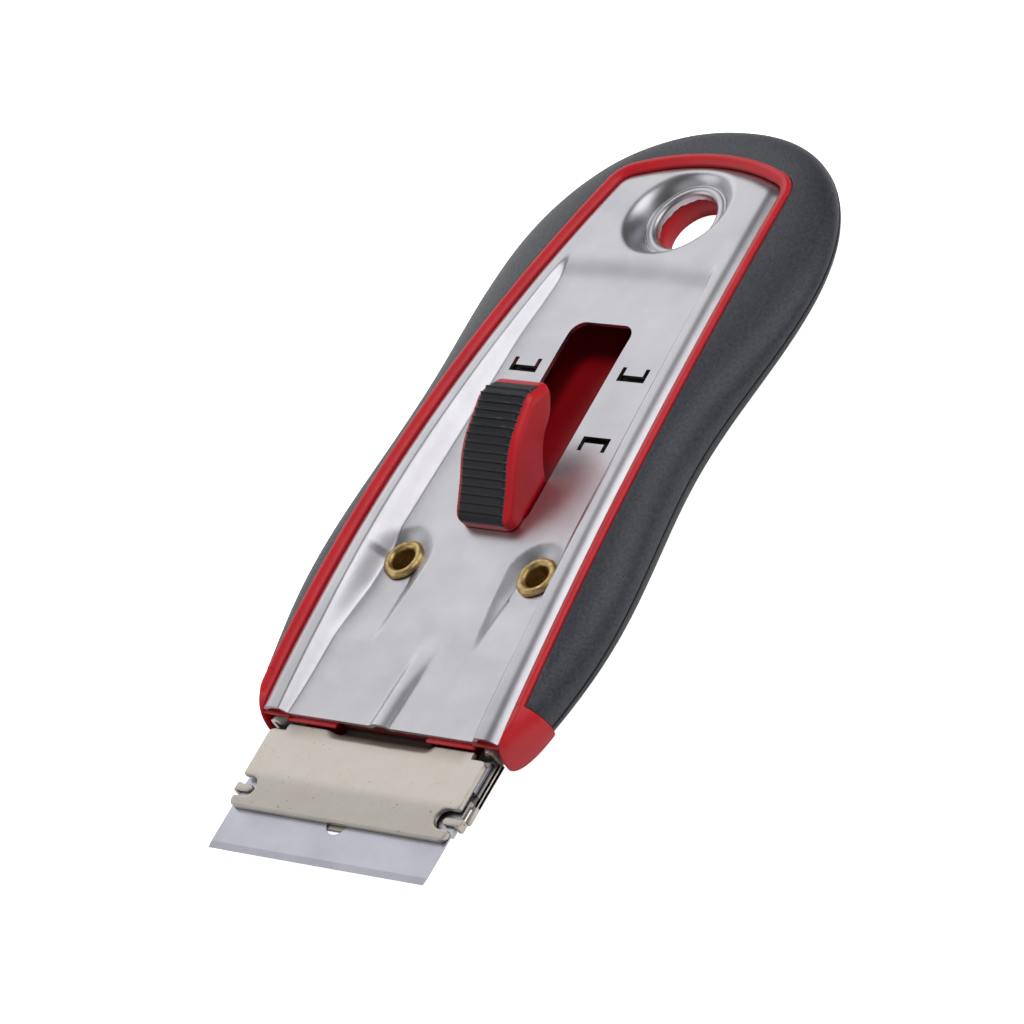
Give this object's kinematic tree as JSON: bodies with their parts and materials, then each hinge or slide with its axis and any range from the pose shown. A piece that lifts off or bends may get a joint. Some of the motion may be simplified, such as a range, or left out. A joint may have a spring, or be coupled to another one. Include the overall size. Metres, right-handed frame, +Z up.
{
  "type": "razor blade scraper",
  "caption": "Pocket scraper: pressed steel cover on a red moulded handle with a dark soft grip, sliding single edge blade carriage, rocking slide button, hanging hole.",
  "frame": {"origin": "middle of the whole scraper's box with the blade out, on the flat underside", "axes": "+X across the blade, -Y the way the blade points, +Z up through the cover and the button"},
  "size_m": [0.0544, 0.1216, 0.017],
  "materials": {
    "red_plastic": "satin moulded plastic",
    "dark_grip": "fine grained soft overmould",
    "black_rubber": "smooth black rubber with fine ribs",
    "stainless": "satin pressed stainless sheet",
    "brass": "dull brass",
    "nickel_steel": "nickel plated sheet",
    "spring_steel": "blued spring steel",
    "rivet_steel": "plain steel",
    "blade_steel": "ground blade steel",
    "spine_steel": "folded steel strip"
  },
  "bodies": {
    "handle": {"housing": "red_plastic", "base_shell": "dark_grip", "grip": "dark_grip", "cover_plate": "stainless", "eyelet_left": "brass", "eyelet_right": "brass", "lock_strip_left": "spring_steel", "lock_strip_right": "spring_steel"},
    "carriage": {"blade_carrier": "nickel_steel", "clamp_plate": "nickel_steel", "clamp_rivet_left": "rivet_steel", "clamp_rivet_right": "rivet_steel", "razor_blade": "blade_steel", "blade_spine": "spine_steel", "button_bracket": "nickel_steel", "bracket_rivet": "rivet_steel", "lock_spring": "spring_steel", "pivot_pin": "rivet_steel"},
    "button": {"slide_button": "red_plastic", "button_pad": "black_rubber"}
  },
  "joints": [
    {"name": "blade_slide", "type": "slide", "parent": "handle", "child": "carriage", "axis": [0, 1, 0], "range_m": [0, 0.023]},
    {"name": "button_press", "type": "hinge", "parent": "carriage", "child": "button", "pos_m": [0, -0.0061, 0.00475], "axis": [-1, 0, 0], "range_deg": [0, 3.5], "stiffness_Nm_per_rad": 0.05, "springref_deg": -5.73, "deforming": ["lock_spring"]}
  ]
}
